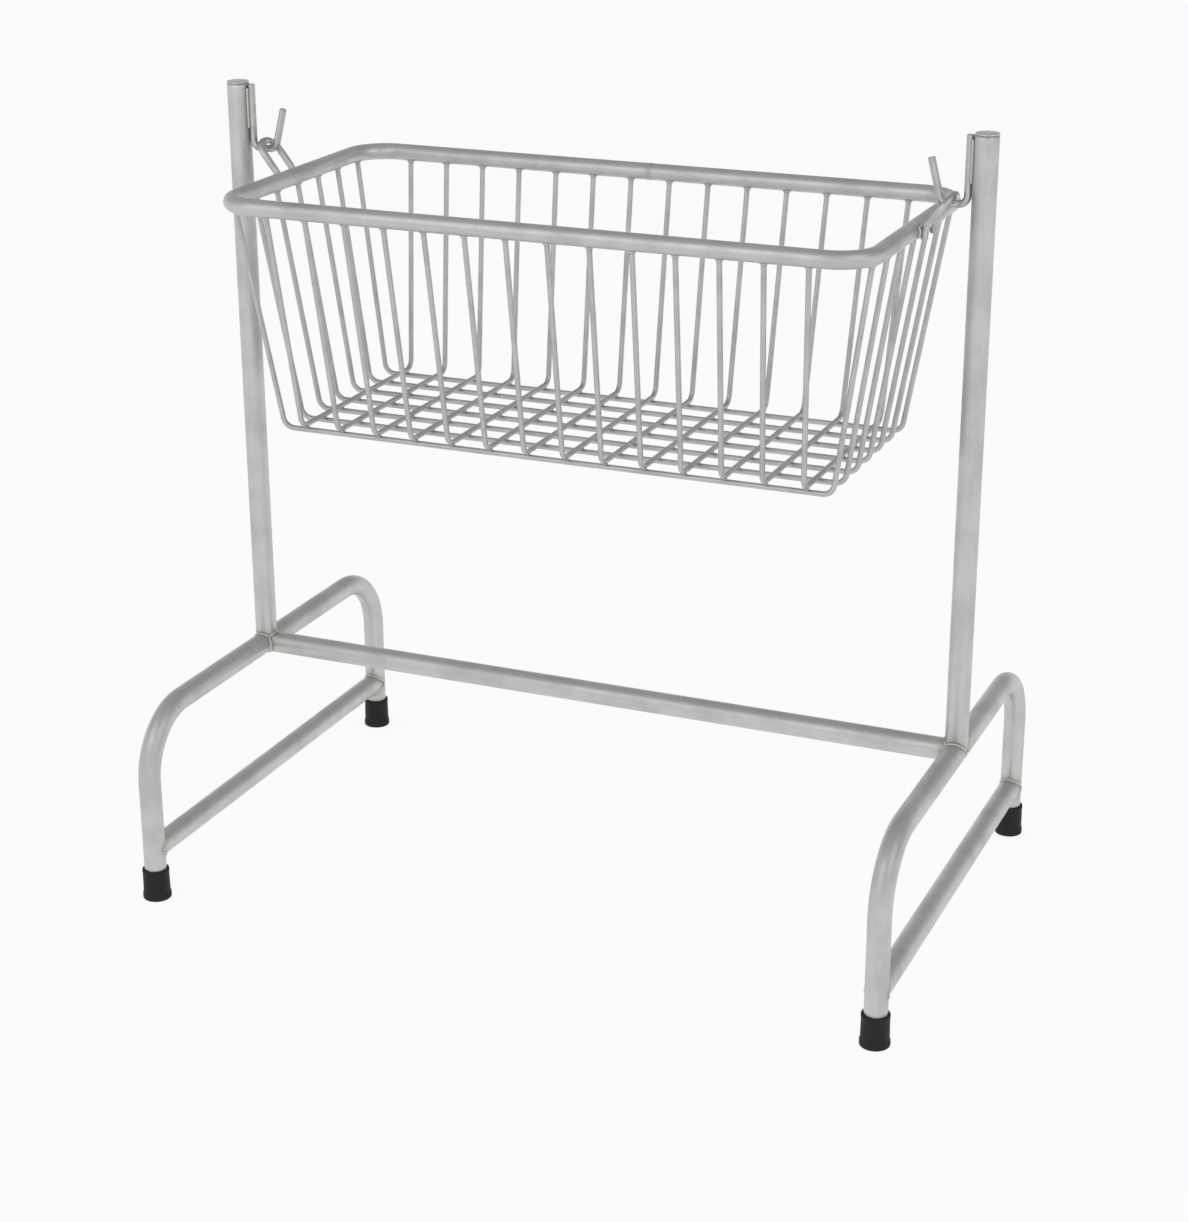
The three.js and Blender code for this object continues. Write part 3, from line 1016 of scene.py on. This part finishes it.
def studio_sky(bright_side, greys):
    """Soft grey surround, lightest towards its bright side, and white low down."""
    white_up_to = 0.02
    grey_from = 0.45
    world = bpy.data.worlds.new("studio_sky")
    bpy.context.scene.world = world
    world.use_nodes = True
    surround = Recipe(world.node_tree)
    towards = surround.node("ShaderNodeTexCoord", {}, {}, "Generated")
    dot = {0: towards, 1: Vector(bright_side).normalized()}
    facing = surround.node("ShaderNodeVectorMath", {"operation": "DOT_PRODUCT"}, dot, "Value")
    stops = [(place, rgb(grey, grey, grey)) for place, grey in greys]
    grey = surround.node("ShaderNodeValToRGB", {"stops": stops}, {0: facing * 0.5 + 0.5})
    height = surround.node("ShaderNodeSeparateXYZ", {}, {0: towards}, "Z")
    colour = surround.blend(height.between(white_up_to, grey_from), rgb(1, 1, 1), grey)
    surround.join(colour, world.node_tree.nodes["Background"].inputs["Color"])


studio_ground()
studio_sky(bright_side=(-0.5, -0.8, -0.15), greys=((0.0, 0.44), (0.5, 0.52), (1.0, 0.68)))
softbox("front_softbox", place=(-0.4, -1.6, 1.6), target=(0, -0.1, 0.75), width=2.0, height=1.2, power=5.2)
softbox("side_softbox", place=(2.0, -0.9, 2.0), target=(0, 0, 0.4), width=1.6, height=1.6, power=7.0)


# Camera

CAMERA_AZIMUTH = math.radians(23.091)
CAMERA_ELEVATION = math.radians(20.804)
CAMERA_ROLL = math.radians(-0.186)
CAMERA_TARGET = Vector((0, 0, 0.54245))
CAMERA_DISTANCE = 2.8633
CAMERA_SLIDE = (0.00142, -0.2067)
FOCAL_PIXELS = 2560.92
PHOTO_HEIGHT = 1222
SENSOR = 36.0


def photo_camera():
    """The camera that fits the photograph."""
    back = Vector((
        math.sin(CAMERA_AZIMUTH) * math.cos(CAMERA_ELEVATION),
        -math.cos(CAMERA_AZIMUTH) * math.cos(CAMERA_ELEVATION),
        math.sin(CAMERA_ELEVATION),
    ))
    right = Vector((math.cos(CAMERA_AZIMUTH), math.sin(CAMERA_AZIMUTH), 0))
    above = back.cross(right)
    stand_point = CAMERA_TARGET + back * CAMERA_DISTANCE + right * CAMERA_SLIDE[0] + above * CAMERA_SLIDE[1]
    rolled_right = right * math.cos(CAMERA_ROLL) + above * math.sin(CAMERA_ROLL)
    rolled_up = above * math.cos(CAMERA_ROLL) - right * math.sin(CAMERA_ROLL)
    lens = bpy.data.cameras.new("photo_camera")
    lens.sensor_fit = "AUTO"
    lens.sensor_width = SENSOR
    lens.lens = FOCAL_PIXELS / PHOTO_HEIGHT * SENSOR
    lens.clip_end = 200.0
    camera = bpy.data.objects.new("photo_camera", lens)
    turn = Matrix((rolled_right, rolled_up, back)).transposed().to_4x4()
    camera.matrix_world = Matrix.Translation(stand_point) @ turn
    bpy.context.scene.collection.objects.link(camera)
    bpy.context.scene.camera = camera


photo_camera()
bpy.context.scene.view_settings.view_transform = "Standard"

bpy.context.view_layer.update()
